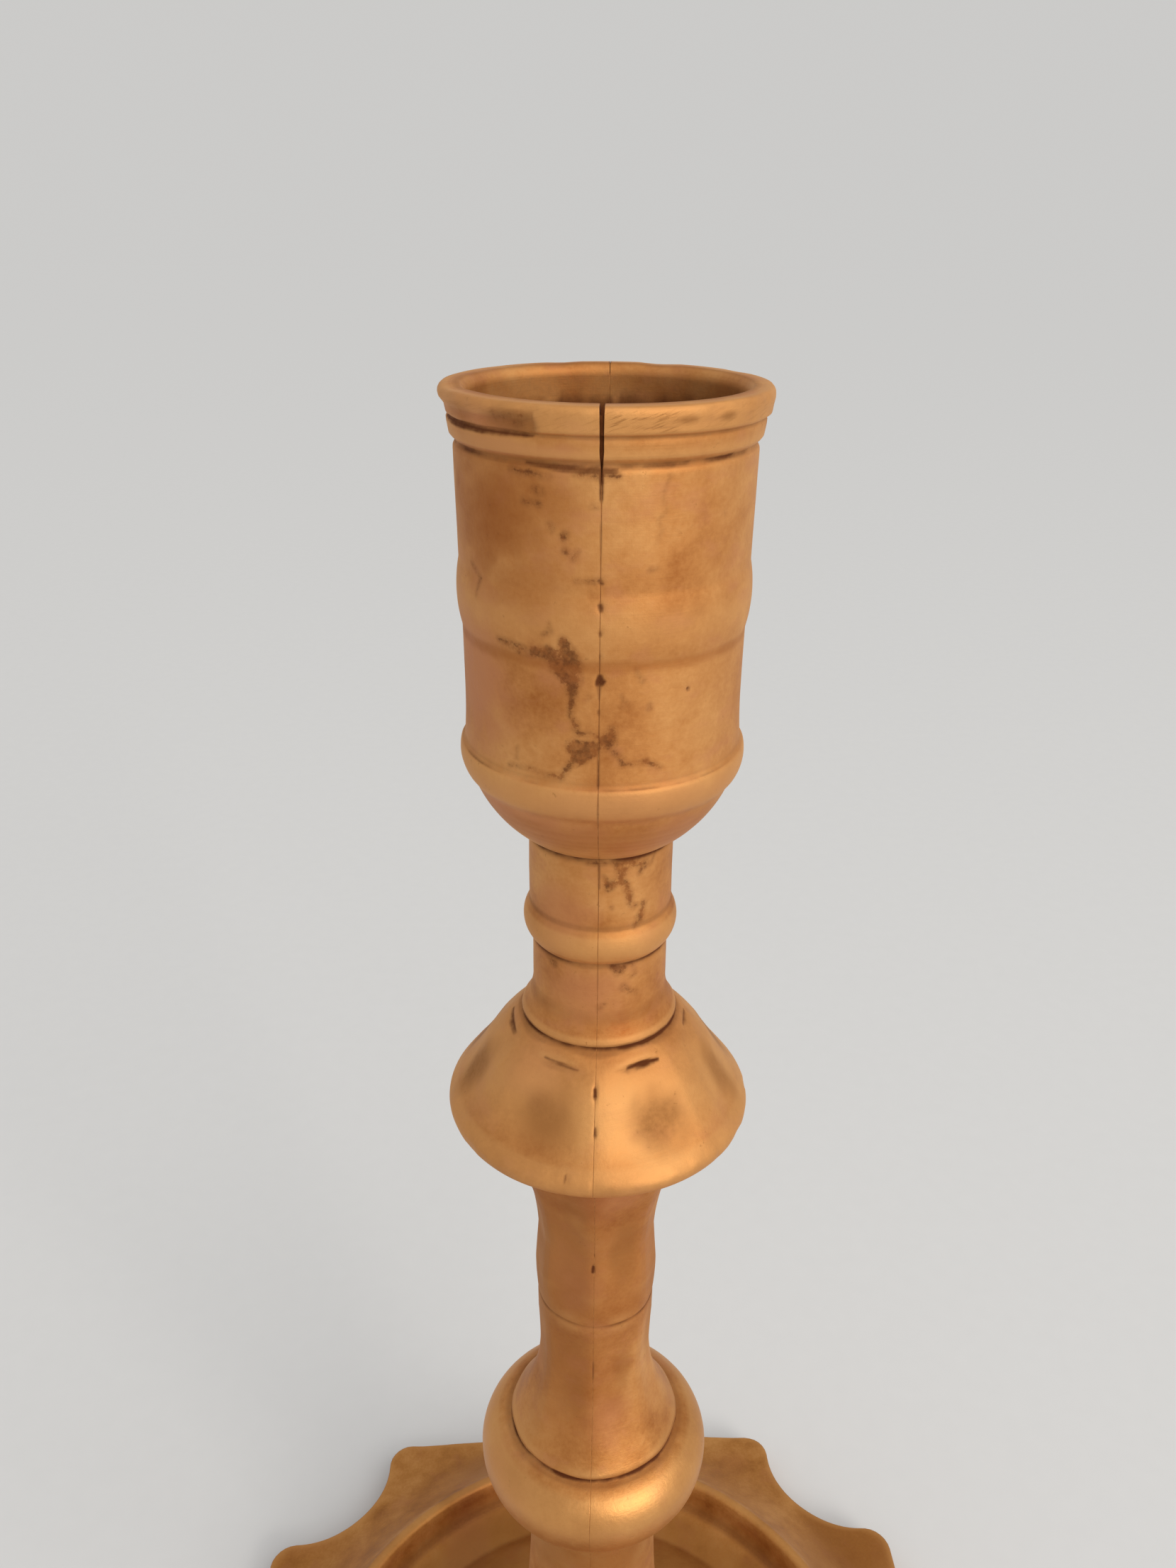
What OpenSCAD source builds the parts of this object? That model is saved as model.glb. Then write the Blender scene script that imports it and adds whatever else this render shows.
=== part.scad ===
// Cast brass candlestick: a hollow stem brazed together from two mirror halves,
// riveted by a tenon to a square base with scooped corners and a drip well.
// Heights marked as a drop are counted down from the rim of the candle socket.

/* [Overall] */
// Height from the table to the rim of the socket
stick_h = 190; // [180:1:200]
// Turn of the stem on its rivet, away from square with the base
stem_turn = -4.2; // [-10:0.1:10]

/* [Candle socket] */
// Inside radius of the socket
bore_r = 10.8; // [10.2:0.1:10.9]
// Depth of the socket from the rim down to its floor
bore_depth = 30.5; // [24:0.5:30.5]
// Thickness of the disc that closes the socket
floor_t = 1.5; // [1:0.1:1.5]
// Radius of the disc, which drops past the bore into a seat of its own
floor_r = 10.4; // [10:0.1:10.6]
// Radius of the ledge that the disc rests on
ledge_r = 9; // [8:0.1:9.5]
// Worn lead-in at the mouth, across and down
mouth_wear = 0.5; // [0.1:0.1:0.6]

/* [Seam] */
// Thickness of the brazing metal between the two halves
braze_t = 0.2; // [0.15:0.05:0.3]
// How far the brazing metal lies below the surface
braze_sink = 0.12; // [0.05:0.01:0.2]
// Width of the open crack at the rim, in front
crack_w = 0.5; // [0.4:0.05:0.8]
// Depth to which the crack runs down from the rim
crack_depth = 4.6; // [2:0.1:8]

/* [Flats] */
// Half the angle of the front and back flats
wide_half = 26; // [20:1:28]
// How far the flats stop short of meeting, as a share of the radius
land = 1.02; // [1.01:0.005:1.04]

/* [Base] */
// Width across the straight sides
base_w = 100; // [96:1:104]
// Radius of the scoop that takes off each corner
scoop_r = 13; // [11:0.5:15]
// Distance from the axis to the centre of each scoop
scoop_d = 64.6; // [62:0.1:66]
// Rounding where a side meets a scoop
lobe_r = 3.5; // [3:0.1:4]
// Thickness of the casting
base_t = 2.4; // [1.8:0.1:2.6]
// Height of the upright outer edge
edge_h = 4.5; // [4:0.1:5.5]
// Radius of the ridge round the drip well
well_r = 39; // [38:0.5:40]
// Height of that ridge above the table
well_h = 14.4; // [13.6:0.1:15]
// Radius of the crease where the middle of the well starts to rise
crease_r = 31; // [28:0.5:32]
// Height of the seat that the stem stands on
seat_h = 13.5; // [12.5:0.1:14]

/* [Tenon] */
// Radius of the tenon's head, brazed into the foot of the stem
plug_r = 7.5; // [6.5:0.1:8]
// Height of that head
plug_h = 8.5; // [7:0.5:9]
// Radius of the shank through the base
shank_r = 3.2; // [2.5:0.1:3.5]
// Radius of the washer under the base
washer_r = 6.5; // [5.5:0.1:8]
// Thickness of the washer
washer_t = 1; // [0.8:0.1:1.2]
// Radius of the peened end
peen_r = 4.8; // [4.2:0.1:5]
// Height of the peened end
peen_h = 2.2; // [1.5:0.1:2.5]

/* [Hidden] */
$fn = 96;
far = 60;
foot_drop = stick_h - seat_h;
side_half = (180 - 4 * wide_half) / 4;
scoop_at = scoop_d / sqrt(2);

// Points of an arc from a to b that swells by rise to the right of its way, or to the
// left if rise is negative. The first point is left out, so that arcs follow each other.
function arc(a, b, rise, steps = 6) =
    rise == 0 ? [b] :
    let (
        half = norm(b - a) / 2,
        radius = (half * half + rise * rise) / (2 * abs(rise)),
        along = (b - a) / (2 * half),
        out = [along.y, -along.x] * sign(rise),
        middle = (a + b) / 2 - out * (radius - abs(rise)),
        sweep = 2 * asin(half / radius)
    )
    [for (i = [1:steps]) let (turn = -sweep / 2 + sweep * i / steps)
        middle + out * radius * cos(turn) + along * radius * sin(turn)];

// An outline from start through moves, each [radius, drop, rise of the arc to it].
function trace(start, moves, i = 0) =
    i == len(moves) ? [] :
    let (next = [moves[i][0], moves[i][1]])
    concat(arc(start, next, moves[i][2]), trace(next, moves, i + 1));

function stood(points) = [for (p = points) [p.x, stick_h - p.y]];

// Outside of the stem, from the rim to the foot.
nozzle = [
    [12.6, 0, 0], [12.95, 0.5, 0.08], [12.75, 1.9, 0], [12.3, 2.1, 0], [12.38, 2.5, 0],
    [12.2, 3.6, 0], [11.65, 4.1, 0], [11.93, 4.6, 0], [11.78, 13.4, 0],
    [11.65, 19.3, 0.32], [11.62, 24, 0], [11.8, 28.8, -0.05], [12.12, 29.1, 0],
    [11.75, 31.6, 0.25], [11.2, 32.3, 0], [6.75, 37.9, 0.55]];
neck = [
    [6.49, 38.2, 0], [6.49, 45.2, 0], [6.42, 48.6, 0.6], [6.22, 49.1, 0],
    [6.24, 53.2, 0], [7.3, 56.6, -0.3], [7.35, 56.9, 0]];
bell = [
    [7.2, 57.2, 0], [7.6, 57.6, 0], [10.9, 61.4, 0.12], [13.6, 65.4, -0.1],
    [14.4, 66.5, 0], [14.2, 68.3, 0.35]];
baluster = [
    [11, 69.9, 0], [7.9, 75.8, -0.5], [6.1, 84.6, -0.35], [6.42, 89.6, 0],
    [6.2, 93.6, 0.05], [6.18, 96.6, 0], [6.02, 101.4, -0.03], [6.5, 105.7, -0.1],
    [9.5, 112.9, -0.35]];
knop = [[9.25, 113.15, 0], [9.6, 113.4, 0], [12.9, 117.8, 0.95], [7.3, 124.2, 1.65]];
foot = [
    [7.15, 124.8, 0], [7.6, 138, 0], [9.5, 157, -0.25], [12.6, 170.4, -0.6],
    [12.9, 171.2, 0], [13.6, foot_drop, 1]];
outside = trace([bore_r + mouth_wear, 0], concat(nozzle, neck, bell, baluster, knop, foot));

// Ridge-to-ridge radius of the flats on the bell and the baluster.
flat_ridges = [
    [far, 57.8], [9.3, 58.4], [9.6, 60], [11.4, 62.6], [13, 64.8], [16.5, 66.8], [far, 67.4],
    [far, 68.8], [12.4, 70.4], [9.5, 73], [7.8, 76.4], [6.8, 80], [6.25, 84.4], [6.5, 89.5],
    [6.25, 94.6], [6.1, 101.4], [6.55, 105.8], [7.5, 108.8], [9.2, 111.6], [11.2, 113.1],
    [far, 113.3]];

// Inside of the stem below the socket, from the ledge to the tenon's head.
ledge_drop = bore_depth + floor_t;
plug_drop = foot_drop - plug_h;
core = concat([[0, ledge_drop]], trace([0, ledge_drop], [
    [ledge_r, ledge_drop, 0], [8.9, 32.6, 0], [4.6, 36.6, 0.8], [4.5, 55, 0], [8.2, 61.2, 0],
    [11.4, 65.6, 0], [11.2, 67.2, 0], [6.2, 72.4, 0], [4.3, 80, -0.3], [4.2, 102, 0],
    [5, 108.4, -0.1], [7.4, 113.6, 0], [10.6, 117.8, 0.4], [5.4, 123.4, 1.1],
    [5.5, 140, 0], [plug_r, plug_drop, 0], [plug_r, foot_drop, 0], [0, foot_drop, 0]]));

module flats_pair(azimuth, half) {
    flats = [for (p = stood(flat_ridges)) [p.x * cos(half) * land, p.y]];
    last = len(flats) - 1;
    rotate([0, 0, azimuth]) rotate([90, 0, 0]) linear_extrude(2 * far, center = true)
        polygon(concat(
            [[far, stick_h + 1]], flats, [[far, -1], [-far, -1]],
            [for (i = [last:-1:0]) [-flats[i].x, flats[i].y]], [[-far, stick_h + 1]]));
}

// The axis side of the outline, closed up to the rim.
module stem_body() {
    intersection() {
        rotate_extrude() polygon(concat([[0, seat_h], [0, stick_h]],
            [[bore_r + mouth_wear, stick_h]], stood(outside)));
        flats_pair(90 - wide_half, wide_half);
        flats_pair(90 + wide_half, wide_half);
        flats_pair(side_half, side_half);
        flats_pair(-side_half, side_half);
    }
}

module stem_hollow() {
    translate([0, 0, stick_h - bore_depth]) cylinder(r = bore_r, h = bore_depth + 1);
    translate([0, 0, stick_h - ledge_drop]) cylinder(r = floor_r, h = ledge_drop);
    translate([0, 0, stick_h - mouth_wear])
        cylinder(r1 = bore_r, r2 = bore_r + 2 * mouth_wear, h = 2 * mouth_wear);
    rotate_extrude() polygon(stood(core));
}

// The crack tapers down from the rim through the front of the wall.
module crack() {
    rotate([90, 0, 0]) linear_extrude(far) polygon([
        [-crack_w / 2, stick_h + 1], [crack_w / 2, stick_h + 1],
        [crack_w / 2, stick_h - crack_depth / 2], [braze_t / 2, stick_h - crack_depth],
        [-braze_t / 2, stick_h - crack_depth], [-crack_w / 2, stick_h - crack_depth / 2]]);
}

// One half of the stem: side is -1 for the left and 1 for the right.
module stem_half(side) {
    rotate([0, 0, stem_turn]) difference() {
        stem_body();
        stem_hollow();
        translate([-side * far + side * braze_t / 2, 0, stick_h / 2])
            cube([2 * far, 2 * far, 2 * stick_h], center = true);
        crack();
    }
}

// A strip of brazing metal through the wall: side is -1 for the front and 1 for the back.
module seam_braze(side, top_drop) {
    rotate([0, 0, stem_turn]) rotate([90, 0, 90])
        linear_extrude(braze_t, center = true) difference() {
            polygon(concat([[0, seat_h], [0, stick_h]],
                [for (p = stood(outside)) [side * (p.x - braze_sink), p.y]]));
            polygon([for (p = stood(core)) [side * p.x, p.y]]);
            translate([-side * far / 2 + side * bore_r / 2, stick_h])
                square([far + bore_r, 2 * bore_depth], center = true);
            translate([-side * far / 2 + side * floor_r / 2, stick_h])
                square([far + floor_r, 2 * ledge_drop], center = true);
            translate([0, stick_h])
                square([2 * far, 2 * top_drop], center = true);
        }
}

module stem_left_half() { color("burlywood") stem_half(-1); }

module stem_right_half() { color("tan") stem_half(1); }

module seam_braze_front() { color("saddlebrown") seam_braze(-1, crack_depth); }

module seam_braze_back() { color("saddlebrown") seam_braze(1, mouth_wear); }

module socket_floor() {
    color("peru") translate([0, 0, stick_h - ledge_drop])
        cylinder(r = floor_r, h = floor_t);
}

module foot_tenon() {
    shank_h = base_t + washer_t;
    color("goldenrod") translate([0, 0, seat_h]) {
        cylinder(r = plug_r, h = plug_h);
        translate([0, 0, -shank_h]) cylinder(r = shank_r, h = shank_h);
        rotate_extrude() polygon(concat([[0, -shank_h], [peen_r, -shank_h]],
            arc([peen_r, -shank_h], [0, -shank_h - peen_h], -0.9)));
    }
}

module tenon_washer() {
    color("dimgray") translate([0, 0, seat_h - base_t - washer_t]) difference() {
        cylinder(r = washer_r, h = washer_t);
        translate([0, 0, -1]) cylinder(r = shank_r, h = washer_t + 2);
    }
}

// Plan of the base, drawn in by inset on every side.
function lobe_x(inset) =
    let (q = lobe_r - inset, y = base_w / 2 - lobe_r - scoop_at)
    scoop_at - sqrt(pow(scoop_r + inset + q, 2) - y * y);

function circle_part(centre, radius, from, to, steps) =
    [for (i = [0:steps]) let (a = from + (to - from) * i / steps)
        centre + radius * [cos(a), sin(a)]];

function turned(points, angle) =
    [for (p = points) [p.x * cos(angle) - p.y * sin(angle), p.x * sin(angle) + p.y * cos(angle)]];

// One corner, from the right-hand side round to the back: lobe, scoop, lobe.
function base_corner(inset) =
    let (
        x = lobe_x(inset), y = base_w / 2 - lobe_r,
        meet = atan2(scoop_at - y, scoop_at - x)
    )
    concat(
        circle_part([y, x], lobe_r - inset, 0, 90 - meet, 6),
        circle_part([scoop_at, scoop_at], scoop_r + inset, 270 - meet, 180 + meet, 12),
        circle_part([x, y], lobe_r - inset, meet, 90, 6));

module base_plan(inset) {
    polygon([for (i = [0:3]) each turned(base_corner(inset), 90 * i)]);
}

// Section of the base from the seat out to past the lobes, as radius and height.
function base_section() =
    let (
        seat_r = 15.5, floor_h = 9.4, floor_edge = [well_r - 2.4, 10.3],
        ridge_in = [well_r - 0.9, well_h - 0.35], ridge_out = [well_r + 0.9, well_h - 0.35]
    )
    concat(
        [[0, seat_h], [seat_r, seat_h]],
        arc([seat_r, seat_h], [crease_r, floor_h], -1.1),
        arc([crease_r, floor_h], floor_edge, 0.15, 3),
        arc(floor_edge, ridge_in, 0.25, 3),
        arc(ridge_in, ridge_out, -0.35, 4),
        arc(ridge_out, [base_w / 2, edge_h + 0.9], 1.1),
        arc([base_w / 2, edge_h + 0.9], [base_w / 2 + 9, edge_h - 0.1], 0.15, 3));

module base_form(drop) {
    section = [for (p = base_section()) p - [0, drop]];
    rotate_extrude() polygon(concat([[0, -5]], section, [[base_w / 2 + 9, -5]]));
}

module base() {
    color("darkgoldenrod") difference() {
        intersection() {
            linear_extrude(far) base_plan(0);
            base_form(0);
        }
        intersection() {
            translate([0, 0, -1]) linear_extrude(far) base_plan(base_t);
            base_form(base_t);
        }
        translate([0, 0, -1]) cylinder(r = shank_r, h = far);
    }
}

stem_left_half();
stem_right_half();
seam_braze_front();
seam_braze_back();
socket_floor();
foot_tenon();
tenon_washer();
base();
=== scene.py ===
"""Looks of the cast brass candlestick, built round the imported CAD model.

Lengths are in millimetres until a mesh is made. On the stem a place is given by its turn,
in degrees from the front seam, and its drop, in millimetres below the rim of the socket.
"""

import math

import bpy
import numpy as np
from mathutils import Matrix, Vector
from mathutils.geometry import tessellate_polygon


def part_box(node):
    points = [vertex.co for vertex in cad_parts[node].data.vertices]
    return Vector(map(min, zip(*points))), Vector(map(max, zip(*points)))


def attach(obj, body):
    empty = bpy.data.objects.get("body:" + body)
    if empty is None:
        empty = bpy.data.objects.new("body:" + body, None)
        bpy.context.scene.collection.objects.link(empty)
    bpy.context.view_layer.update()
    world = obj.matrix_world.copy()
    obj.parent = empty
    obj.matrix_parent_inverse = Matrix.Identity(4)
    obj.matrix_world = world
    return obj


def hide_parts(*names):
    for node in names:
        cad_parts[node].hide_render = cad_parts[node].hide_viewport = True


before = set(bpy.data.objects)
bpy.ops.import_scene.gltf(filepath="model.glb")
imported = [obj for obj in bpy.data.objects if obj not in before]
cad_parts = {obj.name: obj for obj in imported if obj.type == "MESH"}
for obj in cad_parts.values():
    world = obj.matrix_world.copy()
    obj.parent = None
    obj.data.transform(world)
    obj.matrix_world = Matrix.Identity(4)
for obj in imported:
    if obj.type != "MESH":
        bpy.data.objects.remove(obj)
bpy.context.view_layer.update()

MM = 0.001


def node_box(node):
    """A CAD node's lowest and highest corners in millimetres."""
    low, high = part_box(node)
    return np.array(low) / MM, np.array(high) / MM


(_, _, SEAT_Z), (_, _, RIM_Z) = node_box("stem_left_half")
BASE_HALF, _, WELL_H = node_box("base")[1]
FLOOR_LOW, FLOOR_HIGH = node_box("socket_floor")
PLUG_LOW, PLUG_HIGH = node_box("foot_tenon")
WASHER_LOW, WASHER_HIGH = node_box("tenon_washer")

STEM_TURN = -4.2
BORE_R = 10.8
BORE_DEPTH = RIM_Z - FLOOR_HIGH[2]
FLOOR_R = FLOOR_HIGH[0]
MOUTH_WEAR = 0.5
LEDGE_R = 9
LEDGE_DROP = RIM_Z - FLOOR_LOW[2]
FOOT_DROP = RIM_Z - SEAT_Z
PLUG_R = PLUG_HIGH[0]
PLUG_DROP = RIM_Z - PLUG_HIGH[2]
SHANK_R = 3.2
BASE_T = 2.4
LINE_DROP = 93.7  # the line turned into the baluster after the flats were cut

# ---- outlines


def arc(a, b, rise, steps):
    """Points from a to b, without a, that swell by rise to the right of the way."""
    a, b = np.array(a, float), np.array(b, float)
    if rise == 0:
        return [a + (b - a) * i / steps for i in range(1, steps + 1)]
    half = np.linalg.norm(b - a) / 2
    radius = (half * half + rise * rise) / (2 * abs(rise))
    along = (b - a) / (2 * half)
    out = np.array([along[1], -along[0]]) * np.sign(rise)
    middle = (a + b) / 2 - out * (radius - abs(rise))
    sweep = 2 * math.asin(half / radius)
    turns = [-sweep / 2 + sweep * i / steps for i in range(1, steps + 1)]
    return [middle + radius * (out * math.cos(t) + along * math.sin(t)) for t in turns]


def trace(start, moves, steps=16):
    """An outline from start through moves, each a point and the rise of the arc to it."""
    points = [np.array(start, float)]
    for x, y, rise in moves:
        points += arc(points[-1], (x, y), rise, steps)
    return np.array(points)


def window(steps):
    """Weights of a soft window, at steps counted in its own spread."""
    weight = np.exp(-0.5 * steps ** 2)
    return weight / weight.sum()


def spread(points, pitch, soften=0):
    """The outline respaced, its corners rounded by about soften.

    pitch is the spacing, or a function that gives the spacing at each point.
    """
    fine = 0.04
    lengths = np.r_[0, np.cumsum(np.linalg.norm(np.diff(points, axis=0), axis=1))]
    count = max(int(lengths[-1] / fine), 8)
    at = np.linspace(0, lengths[-1], count)
    even = np.stack([np.interp(at, lengths, x) for x in points.T], 1)
    if soften:
        reach = int(3 * soften / fine)
        weight = window(np.arange(-reach, reach + 1) * fine / soften)
        ends = [2 * even[:1] - even[reach:0:-1], even, 2 * even[-1:] - even[-2:-reach - 2:-1]]
        padded = np.concatenate(ends)
        even = np.stack([np.convolve(x, weight, "valid") for x in padded.T], 1)
    step = pitch(even) if callable(pitch) else np.full(count, pitch)
    passed = np.cumsum(fine / step)
    wanted = np.linspace(passed[0], passed[-1], max(int(passed[-1]), 3))
    return even[np.clip(np.searchsorted(passed, wanted), 0, count - 1)]


NOZZLE = [
    (12.6, 0, 0), (12.95, 0.5, 0.08), (12.75, 1.9, 0), (12.3, 2.1, 0), (12.38, 2.5, 0),
    (12.2, 3.6, 0), (11.65, 4.1, 0), (11.93, 4.6, 0), (11.78, 13.4, 0),
    (11.65, 18.8, 0.32), (11.62, 24, 0), (11.8, 28.8, -0.05), (12.12, 29.1, 0),
    (11.75, 31.6, 0.25), (11.2, 32.3, 0), (6.75, 37.9, 0.55)]
NECK = [
    (6.35, 38.1, 0), (6.49, 38.5, 0), (6.49, 45.2, 0), (6.42, 48.6, 0.6), (6.1, 48.9, 0),
    (6.22, 49.3, 0), (6.24, 53.2, 0), (7.3, 56.6, -0.3), (7.4, 56.95, 0)]
BELL = [
    (7.05, 57.15, 0), (7.6, 57.6, 0), (10.9, 61.4, 0.12), (13.6, 65.4, -0.1),
    (14.4, 66.5, 0), (14.2, 68.3, 0.35)]
BALUSTER = [
    (11, 69.9, 0), (7.9, 75.8, -0.5), (6.1, 84.6, -0.35), (6.42, 89.6, 0),
    (6.2, 93.5, 0.05), (6.1, LINE_DROP, 0), (6.2, 93.9, 0), (6.18, 96.6, 0),
    (6.02, 101.4, -0.03), (6.5, 105.7, -0.1), (9.5, 112.9, -0.35)]
KNOP = [(9.1, 113.15, 0), (9.6, 113.4, 0), (12.9, 117.8, 0.95), (7.3, 124.2, 1.65)]
FOOT = [
    (7.15, 124.8, 0), (7.6, 138, 0), (9.5, 157, -0.25), (12.6, 170.4, -0.6),
    (12.75, 170.9, 0), (12.9, 171.2, 0), (13.6, FOOT_DROP, 1)]
OUTSIDE = trace(
    (BORE_R + MOUTH_WEAR, 0), NOZZLE + NECK + BELL + BALUSTER + KNOP + FOOT)
INSIDE = trace((PLUG_R, FOOT_DROP), [
    (PLUG_R, PLUG_DROP, 0), (5.5, 140, 0), (5.4, 123.4, 0), (10.6, 117.8, -1.1),
    (7.4, 113.6, -0.4), (5, 108.4, 0), (4.2, 102, 0.1), (4.3, 80, 0), (6.2, 72.4, 0.3),
    (11.2, 67.2, 0), (11.4, 65.6, 0), (8.2, 61.2, 0), (4.5, 55, 0), (4.6, 36.6, 0),
    (8.9, 32.6, -0.8), (LEDGE_R, LEDGE_DROP, 0), (FLOOR_R, LEDGE_DROP, 0),
    (FLOOR_R, BORE_DEPTH, 0), (BORE_R, BORE_DEPTH, 0), (BORE_R, MOUTH_WEAR, 0),
    (BORE_R + MOUTH_WEAR, 0, 0)], 6)

# ---- noise and masks


def hashed(i, j, k, seed):
    n = (i * 374761393 + j * 668265263 + k * 1103515245 + seed * 974634777) & 0xFFFFFFFF
    n = ((n ^ (n >> 13)) * 1274126177) & 0xFFFFFFFF
    return ((n ^ (n >> 16)) & 0xFFFF) / 32767.5 - 1


def noise(points, size, seed=0):
    """Smooth noise from -1 to 1 at points in millimetres, with features about size across."""
    cell = np.asarray(points, float) / size
    low = np.floor(cell).astype(np.int64)
    part = cell - low
    part = part * part * (3 - 2 * part)
    total = 0
    for corner in range(8):
        step = np.array([corner & 1, corner >> 1 & 1, corner >> 2])
        weight = np.where(step, part, 1 - part).prod(-1)
        total = total + weight * hashed(*np.moveaxis(low + step, -1, 0), seed)
    return total


def ramp(value, low, high):
    """0 below low and 1 above high, smooth between; low may be the greater."""
    x = np.clip((value - low) / (high - low), 0, 1)
    return x * x * (3 - 2 * x)


def around(turns, centre):
    """Signed angle from centre, in degrees."""
    return (turns - centre + 180) % 360 - 180


def offset(turns, drops, radii, turn, drop):
    """How far points of the stem lie from a place on it, round and down."""
    return np.radians(around(turns, turn)) * radii, drops - drop


def unrolled(turns, drops, radii):
    """The stem's surface laid flat, as points for noise."""
    return np.stack([np.radians(turns) * radii, drops, np.zeros_like(drops)], -1)


def in_line(drops):
    """Points along one line, for noise that only changes down the stem."""
    return np.stack([drops, drops * 0, drops * 0], -1)


def placed(radii, angle, z):
    """Points at an angle from the front, in radians, and a height or a drop."""
    return np.stack([radii * np.sin(angle), -radii * np.cos(angle), z], -1)


# Where the flats lie: the turn of each one's middle, and its half angle.
WIDE_HALF, SIDE_HALF = 26, 19
FLAT_MIDDLES = [(26, WIDE_HALF), (71, SIDE_HALF), (109, SIDE_HALF), (154, WIDE_HALF)]


def flat_share(turns, wear):
    """How far the flats lie inside the round, as a share of the radius, dished a little.

    wear is how far round, in degrees, handling has rounded the ridges between the flats.
    """
    def sharp(turns):
        depth = np.zeros_like(turns)
        for middle, half in FLAT_MIDDLES:
            for centre in (middle, -middle):
                off = np.abs(around(turns, centre))
                flat = 1 - math.cos(math.radians(half)) * 1.012 / np.cos(np.radians(off))
                dish = 0.014 * np.clip(1 - (off / half) ** 2, 0, 1)
                depth = np.where(off <= half, np.maximum(flat, 0) + dish, depth)
        return depth

    steps = np.linspace(-2, 2, 9)

    def worn(turns):
        return sum(w * sharp(turns + wear * step) for w, step in zip(window(steps), steps))

    return np.maximum(worn(turns) - worn(np.zeros(1)), 0)


def flat_depth(turns, drops):
    """The flats' depth on the stem: soft on the bell, crisper on the baluster."""
    bell = ramp(drops, 58.35, 59.1) * ramp(drops, 67.2, 64.2)
    stem = ramp(drops, 69.3, 72.5) * (0.3 + 0.55 * ramp(drops, 112.5, 106)) * (drops < 113)
    stem = stem * (1 - 0.85 * np.exp(-((drops - LINE_DROP) / 2.2) ** 2))
    return 0.85 * bell * flat_share(turns, 7.5) + stem * flat_share(turns, 5.5)


# Small dents: turn, drop, radius across, radius along, depth.
PITS = [
    (0.3, 12.4, 0.22, 0.2, 0.12), (0, 14.3, 0.26, 0.3, 0.14), (0.4, 16.2, 0.18, 0.2, 0.1),
    (0.2, 18.1, 0.16, 0.3, 0.08), (0, 20.1, 0.3, 0.45, 0.16), (-0.3, 22.6, 0.15, 0.2, 0.07),
    (0, 60.1, 0.2, 0.45, 0.18), (0.4, 62.9, 0.16, 0.3, 0.12), (-0.8, 85.4, 0.24, 0.45, 0.15),
    (0, 83.6, 0.12, 0.2, 0.08), (0, 100.1, 0.14, 1.3, 0.08), (-10, 66.4, 0.3, 0.25, 0.12),
    (35.5, 21.3, 0.18, 0.18, 0.12), (-18, 8.6, 0.35, 0.3, 0.06), (-13, 9.1, 0.3, 0.28, 0.06),
    (-22.5, 58.6, 1.6, 0.26, 0.12), (30.5, 58.7, 1.5, 0.3, 0.34), (-78, 58.5, 1.9, 0.26, 0.26),
    (86, 58.4, 1.3, 0.26, 0.22), (178, 44, 0.3, 0.4, 0.2), (181, 81, 0.2, 0.6, 0.2),
    (179, 25, 0.25, 0.3, 0.15), (93, 66.9, 0.6, 0.4, 0.15), (136, 58.6, 1.4, 0.28, 0.26)]

# Grooves darkened: dirt in them, and painted shade where they lie under an overhang, below the
# lip's mouldings, the bowl and the neck's ring: drop, half width, strength.
GROOVES = [
    (2.15, 0.2, 0.6), (4.12, 0.3, 0.78), (28.98, 0.1, 0.5), (32.1, 0.14, 0.3), (38.1, 0.23, 1.4),
    (45.3, 0.09, 0.4), (48.98, 0.26, 1), (53.4, 0.12, 0.3), (57.15, 0.29, 1.4),
    (LINE_DROP, 0.19, 1), (113.13, 0.24, 1.5), (124.6, 0.3, 0.9), (170.9, 0.25, 0.95)]

# Strokes of black dirt, and of painted shade below the lip's mouldings and in the notches where
# the flats start:
# a strength in hundredths, then the points of a line, each a turn, a drop and a half width in
# hundredths of a millimetre.
DIRT_AND_SHADE_STROKES = [
    (80, (-78, 2.2, 14), (-62, 2.25, 28), (-48, 2.3, 20), (-23, 2.2, 10)),
    (70, (-27, 4.2, 12), (-14, 4.35, 24), (-2, 4.45, 28), (5, 4.5, 16)),
    (64, (14, 4.15, 12), (24, 4.15, 22), (31, 4.1, 14)),
    (85, (38, 4.1, 10), (46, 4.1, 20), (52, 4.05, 12)), (90, (0, 4.6, 16), (0, 6.5, 8)),
    (80, (0, 26.4, 5), (0, 28.7, 9)), (60, (0, 37.9, 10), (0.4, 41, 8)),
    (62, (-34, 58.5, 10), (-22, 58.65, 20), (-11, 58.75, 10)),
    (100, (20, 58.65, 10), (31, 58.7, 26), (41, 58.75, 12)),
    (72, (-92, 58.3, 12), (-78, 58.5, 22), (-67, 58.6, 12)),
    (70, (79, 58.3, 10), (87, 58.3, 18), (96, 58.3, 10)),
    (80, (126, 58.5, 10), (136, 58.6, 22), (146, 58.6, 10)), (45, (8, 0.9, 3), (16, 0.75, 5)),
    (45, (11, 1.5, 6), (24, 1.35, 4)), (72, (-0.5, 12.3, 10), (0.6, 12.5, 14)),
    (74, (0, 14.1, 15), (0.4, 14.4, 17)), (65, (0, 16.1, 12), (0.2, 16.4, 10)),
    (50, (0, 18, 8), (0, 19.2, 7)), (85, (0.2, 19.7, 16), (0, 20.2, 30), (1.4, 20.1, 16)),
    (55, (0, 20.7, 16), (0, 21.5, 5)), (90, (35.5, 21.3, 12), (35.7, 21.4, 10)),
    (60, (-0.3, 22.5, 10), (-0.3, 22.8, 8)), (95, (-0.2, 59.8, 8), (0, 60.4, 13)),
    (75, (0.4, 62.6, 5), (0.4, 63.2, 12)), (95, (-0.8, 85.1, 10), (-0.9, 85.8, 16)),
    (55, (0, 98.8, 5), (0, 101.4, 9)), (60, (-10, 66.2, 10), (-10.3, 66.6, 10))]

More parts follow.
